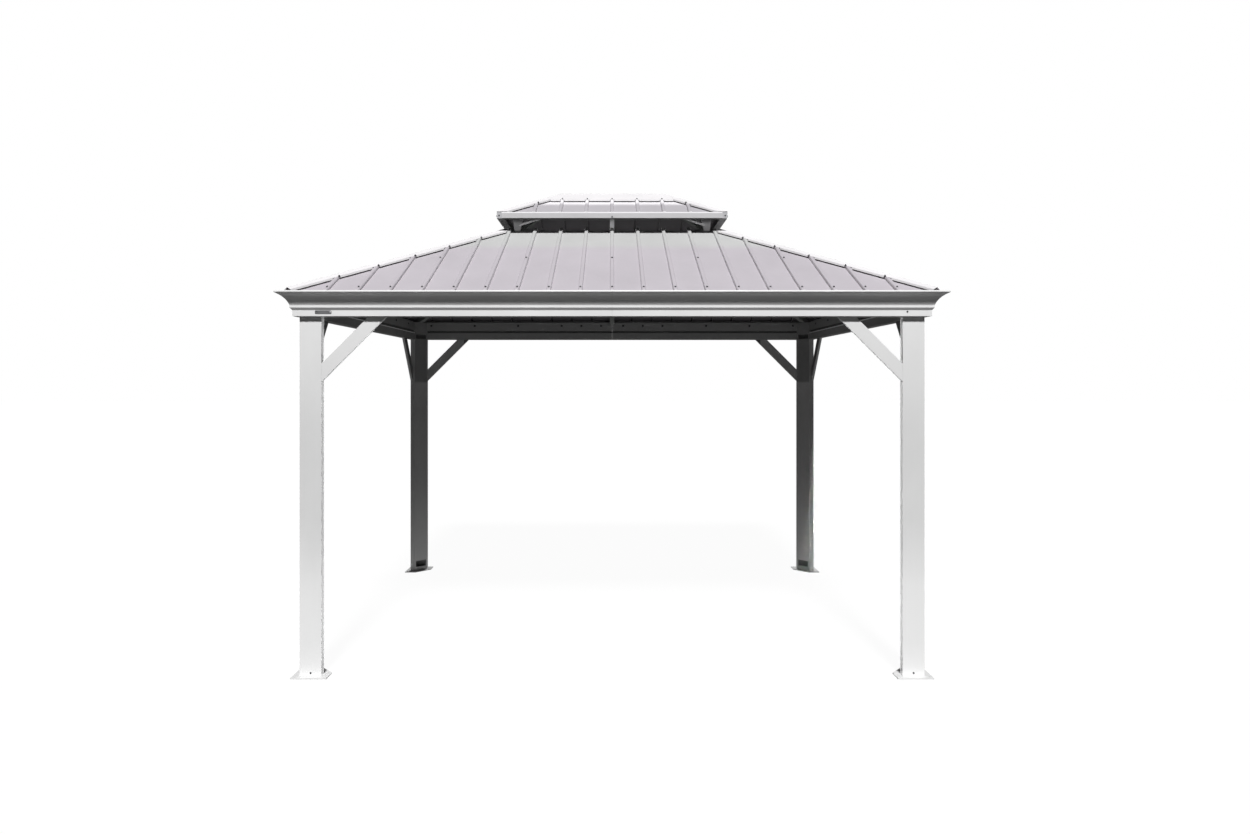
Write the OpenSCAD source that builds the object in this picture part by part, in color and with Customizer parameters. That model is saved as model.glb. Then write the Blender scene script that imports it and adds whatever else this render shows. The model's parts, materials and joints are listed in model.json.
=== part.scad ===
// Hardtop garden gazebo: four corner posts on bolted feet, a beam frame with a crown gutter,
// a hipped lower roof of standing-seam panels and a raised vent roof on top.
// Millimetres. X runs along the long side, the front faces -Y, Z is up and the ground is at 0.

/* [Plan] */
// Overall width over the gutter lips
eave_w = 3968; // [3200:2:4800]
// Overall depth over the gutter lips
eave_d = 3004; // [2600:2:3600]
// How far the gutter lip stands out from the outer post faces
eave_overhang = 111; // [100:1:130]
// Clear height under the beams
clear_h = 2158; // [1900:1:2500]
// Depth of the vent opening in the lower roof
vent_d = 564; // [480:1:700]

/* [Posts] */
// Width of a post's two outer faces
post_size = 131; // [110:1:160]
// Width of the narrow faces beside the slanted inner face
post_lip = 40; // [38:1:50]
// Wall of a post
post_wall = 3; // [2:0.5:4]
// Width of the access slots in the slanted face
slot_w = 106; // [60:1:108]
// Height of the lower access slot
low_slot_h = 56; // [30:1:80]
// Lower edge of the lower access slot above the ground
low_slot_z = 38; // [20:1:60]
// Height of the upper access slot
high_slot_h = 40; // [20:1:60]
// Lower edge of the upper access slot above the clear height
high_slot_rise = 7; // [4:1:40]

/* [Feet] */
// How far a foot plate stands out round its post
foot_border = 42; // [36:1:60]
// Thickness of a foot plate
foot_t = 6; // [4:1:10]
// Height of the two upright tabs inside the post
tab_h = 90; // [50:1:140]
// Width of an upright tab
tab_w = 60; // [40:1:80]
// Thickness of an upright tab
tab_t = 4; // [3:0.5:6]
// Diameter of an anchor hole
anchor_hole_d = 12; // [8:1:14]
// Distance of the anchor holes from the post faces
anchor_out = 18; // [16:1:24]
// Distance of the two inner anchor holes from the outer post faces
anchor_along = 52; // [40:1:70]

/* [Braces] */
// Length that a knee brace takes up down the post
brace_leg = 387; // [300:1:500]
// Length that a knee brace of the long sides takes up along the beam
long_reach = 387; // [300:1:500]
// Length that a knee brace of the short sides takes up along the beam
short_reach = 305; // [250:1:450]
// Face width of a knee brace
brace_w = 76; // [50:1:100]
// Thickness of a knee brace
brace_t = 20; // [14:1:38]
// Wall of a knee brace
brace_wall = 2; // [1.5:0.5:4]

/* [Beams] */
// Height of a beam
beam_h = 160; // [140:1:200]
// Thickness of a beam
beam_t = 40; // [36:1:70]
// Wall of a beam
beam_wall = 3; // [2:0.5:4]
// Height of the curtain track groove above the underside
track_z = 64; // [50:1:70]
// Width of the curtain track groove
track_h = 18; // [12:1:24]
// Depth of the curtain track groove
track_depth = 18; // [8:1:24]

/* [Gutter] */
// Wall of the gutter
gutter_wall = 2.5; // [2:0.5:3]
// Height of the fascia's foot above the clear height
fascia_rise = 2; // [0:1:6]
// How far the fascia stands out from the outer post faces
fascia_out = 32; // [24:1:36]
// Height of the fascia
fascia_h = 35; // [25:1:45]
// Height of the undercut above the fascia
undercut_h = 15; // [10:1:20]
// How far the fillet under the cove stands out from the outer post faces
fillet_out = 44; // [38:1:50]
// Height of the fillet
fillet_h = 15; // [10:1:20]
// Height of the cove
cove_h = 66; // [55:1:80]
// Radius of the cove
cove_r = 110; // [90:1:160]
// Height of the neck between the cove and the middle of the lip's bead
neck_h = 8.5; // [6:0.5:12]
// Diameter of the rolled bead along the lip
bead_d = 15; // [10:1:18]
// Length of the panel seat on the gutter's back wall
seat_w = 20; // [12:1:30]

/* [Roof sheets] */
// Pitch of the lower roof in degrees
roof_angle = 26.2; // [18:0.1:32]
// Pitch of the vent roof in degrees
vent_angle = 27.5; // [18:0.1:32]
// Thickness of the sheet
sheet_t = 2; // [1:0.5:3]
// Distance from one seam to the next
seam_pitch = 188; // [150:1:260]
// Width of a seam
seam_w = 26; // [20:1:32]
// Height of a seam above the sheet
seam_h = 18; // [14:1:26]
// Corner radius of a seam
seam_r = 7; // [4:1:8]
// Shortest seam next to a hip
shortest_seam = 120; // [80:1:180]
// How far the lower sheets lie below the lip
pan_drop = 26.5; // [16:0.5:32]
// How far the sheets stay clear of a hip line
hip_gap = 5; // [3:1:8]

/* [Lower roof] */
// Distance of the panels' lower ends from the lip
panel_tail = 18; // [16:1:40]
// Width of a rafter or purlin
rafter_w = 40; // [30:1:50]
// Depth of a rafter
rafter_depth = 60; // [45:1:62]
// Depth of a purlin
purlin_depth = 42; // [30:1:50]
// Width of a rail of the ring round the vent opening
ring_w = 45; // [30:1:55]
// Depth of a rail of the ring
ring_depth = 60; // [40:1:80]
// How far the ring reaches under the panels
ring_lap = 18; // [10:1:30]
// Width of each flange of a hip cap
cap_flange = 50; // [30:1:70]
// Distance of the hip caps' lower ends from the lip
cap_tail = 57; // [50:1:90]
// Height of the turned-down edges of the caps
hem_h = 9; // [4:0.5:12]
// Clearance beside a seam in a turned-down edge
hem_gap = 3; // [1:0.5:6]

/* [Vent roof] */
// How far the vent roof's ends stand out over the lower panels' upper ends
vent_end_over = 67; // [60:1:110]
// How far the vent roof's long sides stand out over the lower panels' upper ends
vent_side_over = 148; // [100:1:180]
// Height of the open gap under the vent roof
vent_gap = 64; // [50:1:140]
// Height of the vent roof's eave rail
rail_h = 43; // [38:1:70]
// How far the vent sheets lie below the eave rail's lip
vent_drop = 17; // [12:1:22]
// Width of the vent roof's eave rail
rail_w = 52; // [40:1:58]
// Wall of the vent roof's eave rail
rail_wall = 3; // [2:0.5:4]
// Size of the corner caps on the eave rail
corner_cap = 36; // [24:1:50]
// Corner radius of the corner caps
corner_cap_r = 12; // [6:1:20]
// Width of the vent roof's hip rafters and ridge beam
vent_rafter_w = 30; // [20:1:40]
// Depth of the vent roof's hip rafters and ridge beam
vent_rafter_depth = 40; // [30:1:42]
// Width of each flange of the ridge cap
ridge_flange = 145; // [60:1:180]
// How far the ridge cap runs past the ends of the ridge
ridge_reach = 60; // [20:1:80]

/* [Vent struts] */
// Distance of a strut's outer edge from the end of the vent opening
strut_inset = 45; // [40:1:120]
// Width of a strut at its foot
strut_foot = 38; // [30:1:44]
// Width of a strut at its head
strut_head = 82; // [60:1:120]
// How far a strut's outer edge leans out
strut_splay = 12; // [0:1:20]
// Height of a strut's arm above the underside of the eave rail
arm_rise = 15; // [8:1:20]
// Thickness of a strut's arm
arm_t = 12; // [8:1:14]
// How far along the rail a knee tie runs from its strut
knee_run = 174; // [120:1:240]
// Distance of a knee tie's lower end below the eave rail
knee_drop = 28; // [10:1:40]
// Slope of a knee tie in degrees
knee_angle = 9; // [0:1:20]
// Height of a knee tie
knee_h = 15; // [10:1:20]
// Thickness of a knee tie
knee_t = 5; // [3:1:8]
// Width of the ties in the middle of the long sides
tie_w = 32; // [20:1:40]
// Thickness of the ties in the middle of the long sides
tie_t = 5; // [3:1:8]

/* [Fit] */
// Gap left between two pieces that are bolted together
fit = 0.3; // [0.1:0.1:0.5]
// Gap at a butt joint between two lengths of beam or gutter
butt = 0.5; // [0.4:0.1:2]

/* [Hidden] */
$fn = 48;
over = 20;
deep = 400;
half_turn_corner = tan(22.5);

post_x = eave_w / 2 - eave_overhang;
post_y = eave_d / 2 - eave_overhang;
beam_top = clear_h + beam_h;
fascia_z = clear_h + fascia_rise;
undercut_z = fascia_z + fascia_h;
fillet_z = undercut_z + undercut_h;
cove_z = fillet_z + fillet_h;
neck_z = cove_z + cove_h;
bead_z = neck_z + neck_h;
lip_z = bead_z + bead_d / 2;

// A roof is given as half its width, half its depth, the height of its sheets at the lip and its pitch.
lower_roof = [eave_w / 2, eave_d / 2, lip_z - pan_drop, roof_angle];
lower_run = (eave_d - vent_d) / 2;
purlin_run = (panel_tail + lower_run) / 2 - rafter_w;
vent_x = eave_w / 2 - lower_run;
vent_y = vent_d / 2;
vent_top = pan_z(lower_roof, lower_run);
rail_z = vent_top + vent_gap;
upper_x = vent_x + vent_end_over;
upper_y = vent_y + vent_side_over;
upper_roof = [upper_x, upper_y, rail_z + rail_h - vent_drop, vent_angle];
rail_back = upper_y - rail_w - fit;
ridge_half = upper_x - upper_y;
vent_tail = rail_wall + fit;
ring_x = vent_x + ring_lap;
ring_y = vent_y + ring_lap;
ring_top = under_sheet(lower_roof, lower_run - ring_lap);
strut_face = vent_y - fit;
strut_back = ring_y - ring_w + fit;
strut_z = ring_top + fit;
arm_z = rail_z + arm_rise;
dark = "dimgray";
pale = "gainsboro";
sheet_grey = "silver";

// Height of a roof's sheets at a level distance u inwards from its lip
function pan_z(roof, u) = roof[2] + u * tan(roof[3]);
// Upright height of a thickness that is measured square to a roof's sheets
function upright(roof, t) = t / cos(roof[3]);
// Height just under a roof's sheets at a level distance u inwards from its lip
function under_sheet(roof, u) = pan_z(roof, u) - upright(roof, sheet_t + fit);
// Distance from the centre to the lip of side k, and half the length of that lip
function half_run(roof, k) = k % 2 == 0 ? roof[1] : roof[0];
function half_len(roof, k) = k % 2 == 0 ? roof[0] : roof[1];
// Number of seams on either side of the middle one of slope k, with sheets that start at u0
function side_seams(roof, k, u0) = floor((half_len(roof, k) - u0 - shortest_seam) / seam_pitch);

// Places children drawn at the front left corner at any of the four corners
module at_corner(right, back) {
    mirror([right, 0, 0]) mirror([0, back, 0]) children();
}

// Places children drawn for the front on side k: 0 front, 1 right, 2 back, 3 left
module on_side(k) {
    rotate([0, 0, 90 * k]) children();
}

// Runs an outline of (distance out from the post faces, height) along the front from x0 to x1
module along_eave(y_face, x0, x1) {
    translate([x0, -y_face, 0]) mirror([0, 1, 0]) rotate([90, 0, 90])
        linear_extrude(height = x1 - x0) children();
}

// The five-sided outline of a post, grown by a border, with its outer corner at the origin
module post_outline(border) {
    near = -border;
    far = post_size + border;
    lip = post_lip + border * half_turn_corner;
    polygon([[near, near], [far, near], [far, lip], [lip, far], [near, far]]);
}

// Everything under a roof's four sheet planes, moved up by lift
module under_roof(roof, lift) {
    intersection() {
        gable(roof[1], roof[0], roof[2] + lift, roof[3]);
        rotate([0, 0, 90]) gable(roof[0], roof[1], roof[2] + lift, roof[3]);
    }
}

// A long block with a two-sided top: half its span, half its length, the height of its eaves and its pitch
module gable(span, len, z, angle) {
    translate([-len, 0, 0]) rotate([90, 0, 90]) linear_extrude(height = 2 * len)
        polygon([[-span, z - deep], [span, z - deep], [span, z], [0, z + span * tan(angle)], [-span, z]]);
}

// A strip in plan along the front left hip of a roof, from u0 to u1 inwards from the lip
module hip_strip(roof, width, u0, u1, aside = 0) {
    length = (u1 - u0) * sqrt(2);
    translate([u0 - roof[0], u0 - roof[1], 0]) rotate([0, 0, 45]) translate([0, aside - width / 2, 0])
        cube([length, width, lip_z * 2]);
}

// The plan outline of one slope between u0 and u1, drawn back from the hips by a margin
module slope_plan(roof, k, u0, u1, margin) {
    run = half_run(roof, k);
    low = half_len(roof, k) - u0 - margin;
    high = half_len(roof, k) - u1 - margin;
    linear_extrude(height = lip_z * 2)
        polygon([[-low, u0 - run], [low, u0 - run], [high, u1 - run], [-high, u1 - run]]);
}

// Post

module post() {
    face = (post_size + post_lip) / 2;
    color(pale) translate([-post_x, -post_y, foot_t]) difference() {
        linear_extrude(height = beam_top - foot_t) difference() {
            post_outline(0);
            post_outline(-post_wall);
        }
        translate([face, face, low_slot_z - foot_t]) access_slot(low_slot_h);
        translate([face, face, clear_h + high_slot_rise - foot_t]) access_slot(high_slot_h);
    }
}

module access_slot(height) {
    rotate([0, 0, 45]) translate([-post_wall * 2, -slot_w / 2, 0]) cube([post_wall * 4, slot_w, height]);
}

// Foot

module foot() {
    inside = post_wall + fit;
    middle = (post_size - tab_w) / 2;
    color(pale) translate([-post_x, -post_y, 0]) {
        difference() {
            linear_extrude(height = foot_t) post_outline(foot_border);
            translate([-anchor_out, -anchor_out, 0]) anchor_hole();
            translate([post_size + anchor_out, anchor_along, 0]) anchor_hole();
            translate([anchor_along, post_size + anchor_out, 0]) anchor_hole();
        }
        translate([middle, inside, 0]) cube([tab_w, tab_t, foot_t + tab_h]);
        translate([inside, middle, 0]) cube([tab_t, tab_w, foot_t + tab_h]);
    }
}

module anchor_hole() {
    translate([0, 0, -over]) cylinder(d = anchor_hole_d, h = foot_t + 2 * over);
}

// Knee braces

module braces() {
    color(pale) {
        translate([post_size - post_x + fit, -post_y + fit, clear_h - fit]) brace(long_reach);
        translate([-post_x + fit, post_size - post_y + fit, clear_h - fit]) mirror([-1, 1, 0])
            brace(short_reach);
    }
}

// A sloping tube, cut off level under the beam and upright at the post
module brace(reach) {
    slant = norm([reach, brace_leg]);
    level = brace_w * slant / brace_leg;
    plumb = brace_w * slant / reach;
    skin = brace_wall * slant / reach;
    core = plumb - 2 * skin;
    low = brace_line(-over, reach) + skin;
    high = brace_line(reach + over, reach) + skin;
    translate([0, brace_t, 0]) rotate([90, 0, 0]) difference() {
        linear_extrude(height = brace_t)
            polygon([[0, -brace_leg], [reach, 0], [reach - level, 0], [0, plumb - brace_leg]]);
        translate([0, 0, brace_wall]) linear_extrude(height = brace_t - 2 * brace_wall)
            polygon([[-over, low], [reach + over, high], [reach + over, high + core], [-over, low + core]]);
    }
}

// Height of a brace's lower edge at a distance x from the post, under the beam
function brace_line(x, reach) = (x / reach - 1) * brace_leg;

// Beams

module long_beam() {
    end = post_x - post_size - fit;
    color(dark) for (x0 = [-end, butt / 2])
        along_eave(post_y, x0, x0 + end - butt / 2) beam_outline();
}

module side_beam() {
    end = post_y - post_size - fit;
    color(dark) along_eave(post_x, -end, end) beam_outline();
}

// A box with a curtain track groove in its inner face
module beam_outline() {
    lower_h = track_z - 2 * beam_wall;
    upper_z = clear_h + track_z + track_h + beam_wall;
    core = beam_t - 2 * beam_wall;
    difference() {
        translate([-beam_t, clear_h]) square([beam_t, beam_h]);
        translate([beam_wall - beam_t, clear_h + beam_wall]) square([core, lower_h]);
        translate([beam_wall - beam_t, upper_z]) square([core, beam_top - beam_wall - upper_z]);
        translate([-beam_t - over, clear_h + track_z]) square([track_depth + over, track_h]);
    }
}

// Crown gutter

module long_gutter() {
    color(pale) for (x0 = [-post_x + fit, butt / 2])
        along_eave(post_y, x0, x0 + post_x - fit - butt / 2) gutter_outline();
}

module side_gutter() {
    color(pale) along_eave(post_x, fit - post_y, post_y - fit) gutter_outline();
}

// Mitred pieces that carry the gutter round the four corners
module gutter_corners() {
    color(pale) for (right = [0, 1], back = [0, 1]) at_corner(right, back) gutter_corner();
}

module gutter_corner() {
    reach = eave_overhang + over;
    intersection() {
        along_eave(post_y, -post_x - reach, -post_x) gutter_outline();
        linear_extrude(height = lip_z + deep)
            polygon([[-post_x, -post_y], [-post_x - reach, -post_y - reach], [-post_x, -post_y - reach]]);
    }
    intersection() {
        on_side(3) along_eave(post_x, post_y, post_y + reach) gutter_outline();
        linear_extrude(height = lip_z + deep)
            polygon([[-post_x, -post_y], [-post_x - reach, -post_y - reach], [-post_x - reach, -post_y]]);
    }
}

// Section of the gutter: a closed box at the foot, an open trough behind the cove, a rolled lip
// and a panel seat
module gutter_outline() {
    w = gutter_wall;
    inner = fit + w;
    seat = fit + seat_w;
    neck_out = eave_overhang - bead_d / 2;
    top = [neck_out, neck_z];
    foot = [fillet_out, cove_z];
    centre = arc_centre(top, foot, cove_r);
    translate([neck_out, bead_z]) circle(d = bead_d);
    difference() {
        polygon([[fit, fascia_z], [fascia_out, fascia_z], [fascia_out, undercut_z], [fillet_out, fillet_z],
                 foot, top, [neck_out, bead_z], [neck_out - w, bead_z], [seat, seat_height(seat)],
                 [fit, seat_height(fit)]]);
        // Hollow of the cove
        intersection() {
            translate(centre) circle(r = cove_r);
            translate(foot) square([eave_overhang, cove_h]);
        }
        // Inside of the box
        polygon([[inner, fascia_z + w], [fascia_out - w, fascia_z + w], [fascia_out - w, undercut_z],
                 [fillet_out - w, fillet_z], [fillet_out - w, cove_z - w], [inner, cove_z - w]]);
        // Trough
        difference() {
            polygon([[inner, cove_z], [neck_out - w, cove_z], [neck_out - w, bead_z + over],
                     [seat, lip_z + deep], [seat, seat_height(seat) - w], [inner, seat_height(inner) - w]]);
            translate(centre) circle(r = cove_r + w);
        }
    }
}

// Height of the seat under the panels at a distance s out from the post faces
function seat_height(s) = under_sheet(lower_roof, eave_overhang - s);

// Centre of an arc of radius r from point a to point b
function arc_centre(a, b, r) =
    (a + b) / 2 + sqrt(r * r - (b - a) * (b - a) / 4) * [a[1] - b[1], b[0] - a[0]] / norm(b - a);

// Lower roof frame

// Runs under a hip from the post to the ring, seated on the post's top
module hip_rafter() {
    u0 = eave_overhang + post_wall;
    u1 = lower_run + ring_w;
    color(dark) difference() {
        intersection() {
            under_roof(lower_roof, -upright(lower_roof, sheet_t + fit));
            translate([u0 - eave_w / 2, u0 - eave_d / 2, 0]) rotate([90, 0, 45])
                translate([0, 0, -rafter_w / 2]) linear_extrude(height = rafter_w)
                    rafter_side(u0, u1);
        }
        translate([-post_x, -post_y, clear_h]) linear_extrude(height = beam_h + fit) post_outline(over);
        ring_clearance();
    }
}

// Side view of a hip rafter in its own upright plane
module rafter_side(u0, u1) {
    length = (u1 - u0) * sqrt(2);
    low = under_sheet(lower_roof, u0);
    high = under_sheet(lower_roof, u1);
    polygon([[0, low - rafter_depth], [length, high - rafter_depth], [length, high + over], [0, low + over]]);
}

module ring_clearance() {
    x = ring_x + fit;
    y = ring_y + fit;
    translate([-x, -y, 0]) cube([2 * x, 2 * y, ring_top + deep]);
}

// Rafters in the middle of the long sides, notched over the beams
module centre_rafters() {
    u0 = eave_overhang + fit;
    u1 = lower_run - ring_lap - fit;
    color(dark) for (k = [0, 2]) on_side(k) difference() {
        translate([-rafter_w / 2, -eave_d / 2, 0]) rotate([90, 0, 90]) linear_extrude(height = rafter_w)
            sloped_bar(u0, u1, rafter_depth);
        translate([-rafter_w, -post_y - over, clear_h])
            cube([2 * rafter_w, beam_t + over + fit, beam_h + fit]);
    }
}

// Side view of a bar under the lower sheets, from u0 to u1 inwards from the lip
module sloped_bar(u0, u1, depth) {
    low = under_sheet(lower_roof, u0);
    high = under_sheet(lower_roof, u1);
    polygon([[u0, low - depth], [u1, high - depth], [u1, high], [u0, low]]);
}

// Bars half-way up the slopes, between the hip rafters and either side of the centre rafters
module purlins() {
    u1 = purlin_run + rafter_w;
    margin = (rafter_w / 2 + fit) * sqrt(2);
    color(dark) for (k = [0 : 3]) on_side(k) difference() {
        intersection() {
            translate([-half_len(lower_roof, k), -half_run(lower_roof, k), 0]) rotate([90, 0, 90])
                linear_extrude(height = 2 * half_len(lower_roof, k))
                    sloped_bar(purlin_run, u1, purlin_depth);
            slope_plan(lower_roof, k, purlin_run - over, u1 + over, margin);
        }
        if (k % 2 == 0)
            translate([-rafter_w / 2 - fit, -eave_d, 0]) cube([rafter_w + 2 * fit, eave_d, lip_z * 2]);
    }
}

// Four rails round the vent opening
module vent_ring() {
    z = ring_top - ring_depth;
    side_y = ring_y - ring_w - fit;
    color(dark) for (flip = [0, 1]) {
        mirror([0, flip, 0]) translate([-ring_x, -ring_y, z]) cube([2 * ring_x, ring_w, ring_depth]);
        mirror([flip, 0, 0]) translate([-ring_x, -side_y, z]) cube([ring_w, 2 * side_y, ring_depth]);
    }
}

// Standing-seam sheets

// Panels of slope k from u0 to u1 inwards from the lip, each hooked over the next one's edge
module roof_panels(roof, k, u0, u1) {
    len = half_len(roof, k);
    seams = side_seams(roof, k, u0);
    run = upright(roof, u1 - u0) + 2 * over;
    color(sheet_grey) on_side(k) for (i = [-seams - 1 : seams]) {
        left = i < -seams ? -len : i * seam_pitch;
        right = i == seams ? len : (i + 1) * seam_pitch;
        intersection() {
            translate([0, u0 - half_run(roof, k), pan_z(roof, u0)]) rotate([roof[3], 0, 0])
                translate([0, run - over, 0]) rotate([90, 0, 0]) linear_extrude(height = run)
                    panel_outline(left, right, i >= -seams, i < seams);
            slope_plan(roof, k, u0, u1, hip_gap);
        }
    }
}

// Section of one panel: a flat pan, a hollow seam on its left and an upstand on its right
module panel_outline(left, right, seam, upstand) {
    start = seam ? left + seam_w / 2 - sheet_t : left;
    end = upstand ? right - seam_w / 4 : right;
    translate([start, -sheet_t]) square([end - start, sheet_t]);
    if (seam) translate([left, 0]) seam_outline();
    if (upstand) translate([end - sheet_t, -sheet_t]) square([sheet_t, seam_h - seam_r + sheet_t]);
}

// An upside-down channel with rounded shoulders
module seam_outline() {
    difference() {
        shouldered(seam_w, seam_h, seam_r);
        translate([0, -sheet_t]) shouldered(seam_w - 2 * sheet_t, seam_h, seam_r - sheet_t);
        translate([-seam_w / 2, 0]) square([sheet_t, fit]);
    }
}

module shouldered(width, height, radius) {
    translate([-width / 2, 0]) square([width, height - radius]);
    translate([radius - width / 2, 0]) square([width - 2 * radius, height]);
    for (side = [-1, 1]) translate([side * (width / 2 - radius), height - radius]) circle(r = radius);
}

// A layer over both slopes, from a cap's upper face down by a thickness
module cap_layer(roof, thickness) {
    top = seam_h + fit + sheet_t;
    difference() {
        under_roof(roof, upright(roof, top));
        under_roof(roof, upright(roof, top - thickness));
    }
}

// A folded strip on the seams of both slopes along the front left hip, with turned-down edges
module hip_cap(roof, u0, u1, tail) {
    intersection() {
        cap_layer(roof, sheet_t);
        hip_strip(roof, 2 * cap_flange, u0, u1);
    }
    edge = cap_flange - sheet_t / 2;
    for (k = [0, 3]) difference() {
        intersection() {
            cap_layer(roof, sheet_t + hem_h);
            hip_strip(roof, sheet_t, u0, u1, k == 0 ? -edge : edge);
        }
        seam_notches(roof, k, tail);
    }
}

// Room for the eave and the seams of slope k in the caps' turned-down edges, for sheets that start at u0
module seam_notches(roof, k, u0) {
    seams = side_seams(roof, k, u0);
    len = half_len(roof, k);
    run = half_run(roof, k);
    room = seam_w + 2 * hem_gap;
    on_side(k) {
        translate([-len, -run, 0]) cube([2 * len, u0, lip_z * 2]);
        for (i = [-seams : seams])
            translate([i * seam_pitch - room / 2, -run, 0]) cube([room, run, lip_z * 2]);
    }
}

module lower_hip_caps() {
    color(sheet_grey) for (right = [0, 1], back = [0, 1]) at_corner(right, back)
        hip_cap(lower_roof, cap_tail, lower_run - cap_flange / 2, panel_tail);
}

// Vent roof

// Brackets on the ring that spread upwards, each with an arm and a knee tie to the eave rail
module vent_struts() {
    color(pale) for (right = [0, 1], back = [0, 1]) at_corner(right, back) {
        translate([strut_inset - vent_x, 0, 0]) {
            vent_strut();
            vent_knee();
        }
    }
}

module vent_strut() {
    head_z = arm_z + arm_t;
    translate([0, -strut_back, 0]) rotate([90, 0, 0]) linear_extrude(height = strut_face - strut_back)
        polygon([[0, strut_z], [strut_foot, strut_z],
                 [strut_head - strut_splay, head_z], [-strut_splay, head_z]]);
    translate([0, -rail_back, arm_z]) cube([strut_foot, rail_back - strut_back, arm_t]);
}

// A flat bar from the middle of the strut out to the back of the eave rail
module vent_knee() {
    middle = (strut_face + strut_back) / 2;
    reach = rail_back - middle;
    length = norm([knee_run, reach]) + over;
    intersection() {
        translate([strut_foot / 2, -middle, rail_z - knee_drop]) rotate([0, 0, -atan2(reach, knee_run)])
            rotate([0, -knee_angle, 0]) translate([0, -knee_t / 2, -knee_h / 2])
                cube([length, knee_t, knee_h]);
        translate([0, -rail_back, 0]) cube([2 * knee_run, reach, lip_z * 2]);
    }
}

// Straps from the ring up to the eave rails in the middle of the long sides
module vent_ties() {
    color(pale) for (k = [0, 2]) on_side(k) translate([-tie_w / 2, 0, 0]) rotate([90, 0, 90])
        linear_extrude(height = tie_w)
            polygon([[-strut_face, strut_z], [-strut_face, arm_z], [-rail_back, arm_z],
                     [-rail_back, arm_z + arm_t], [tie_t - strut_face, arm_z + arm_t],
                     [tie_t - strut_face, strut_z]]);
}

// Four rails between the corner caps, each a tube with a sloped top and a raised lip
module vent_eave_rails() {
    color(pale) for (k = [0 : 3]) on_side(k) {
        end = half_len(upper_roof, k) - corner_cap - fit;
        intersection() {
            along_eave(half_run(upper_roof, k), -end, end) rail_outline();
            slope_plan(upper_roof, k, 0, rail_w, fit);
        }
    }
}

module rail_outline() {
    w = rail_wall;
    difference() {
        polygon([[0, rail_z], [0, rail_z + rail_h], [-w, rail_z + rail_h], [-w, rail_seat(w)],
                 [-rail_w, rail_seat(rail_w)], [-rail_w, rail_z]]);
        polygon([[-w, rail_z + w], [-w, rail_seat(w) - w], [w - rail_w, rail_seat(rail_w - w) - w],
                 [w - rail_w, rail_z + w]]);
    }
}

// Height of the rail's top under the vent panels at a distance s in from its face
function rail_seat(s) = under_sheet(upper_roof, s);

// Rounded blocks with a raised lip that close the eave rails at the corners
module vent_corner_caps() {
    color(pale) for (right = [0, 1], back = [0, 1])
        at_corner(right, back) translate([-upper_x, -upper_y, rail_z]) vent_corner_cap();
}

module vent_corner_cap() {
    linear_extrude(height = rail_seat(rail_wall) - rail_z) corner_outline(corner_cap_r);
    linear_extrude(height = rail_h) difference() {
        corner_outline(corner_cap_r);
        translate([rail_wall, rail_wall]) corner_outline(corner_cap_r - rail_wall);
    }
}

// A square with its outer corner rounded
module corner_outline(r) {
    translate([r, 0]) square([corner_cap - r, corner_cap]);
    translate([0, r]) square([corner_cap, corner_cap - r]);
    translate([r, r]) circle(r = r);
}

// Hip rafters of the vent roof, from the inner corners of the eave rails to the ridge beam
module vent_hip_rafters() {
    u0 = rail_w + fit;
    lift = -upright(upper_roof, sheet_t + fit);
    color(dark) for (right = [0, 1], back = [0, 1]) at_corner(right, back) difference() {
        intersection() {
            under_roof(upper_roof, lift);
            hip_strip(upper_roof, vent_rafter_w, u0 - vent_rafter_w, upper_y);
            translate([-upper_x, -upper_y, 0]) cube([upper_x - ridge_half - fit, upper_y - fit, lip_z * 2]);
        }
        under_roof(upper_roof, lift - vent_rafter_depth);
        translate([-upper_x, -upper_y, 0]) cube([upper_x * 2, u0, lip_z * 2]);
        translate([-upper_x, -upper_y, 0]) cube([u0, upper_y * 2, lip_z * 2]);
    }
}

module ridge_beam() {
    top = under_sheet(upper_roof, upper_y);
    color(dark) intersection() {
        under_roof(upper_roof, -upright(upper_roof, sheet_t + fit));
        translate([-ridge_half, -vent_rafter_w / 2, top - vent_rafter_depth])
            cube([2 * ridge_half, vent_rafter_w, vent_rafter_depth]);
    }
}

module vent_panels(k) {
    roof_panels(upper_roof, k, vent_tail, upper_y - 2 * hip_gap);
}

module vent_hip_caps() {
    end = ridge_half + ridge_reach + fit;
    color(sheet_grey) for (right = [0, 1], back = [0, 1]) at_corner(right, back) intersection() {
        hip_cap(upper_roof, vent_tail, upper_y + cap_flange, vent_tail);
        translate([-upper_x, -upper_y, 0]) cube([upper_x - end, upper_y - fit, lip_z * 2]);
    }
}

module ridge_cap() {
    end = ridge_half + ridge_reach;
    color(sheet_grey) {
        intersection() {
            cap_layer(upper_roof, sheet_t);
            translate([-end, -ridge_flange, 0]) cube([2 * end, 2 * ridge_flange, lip_z * 2]);
        }
        for (k = [0, 2]) difference() {
            intersection() {
                cap_layer(upper_roof, sheet_t + hem_h);
                on_side(k) translate([-end, -ridge_flange, 0]) cube([2 * end, sheet_t, lip_z * 2]);
            }
            seam_notches(upper_roof, k, vent_tail);
        }
    }
}

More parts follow.
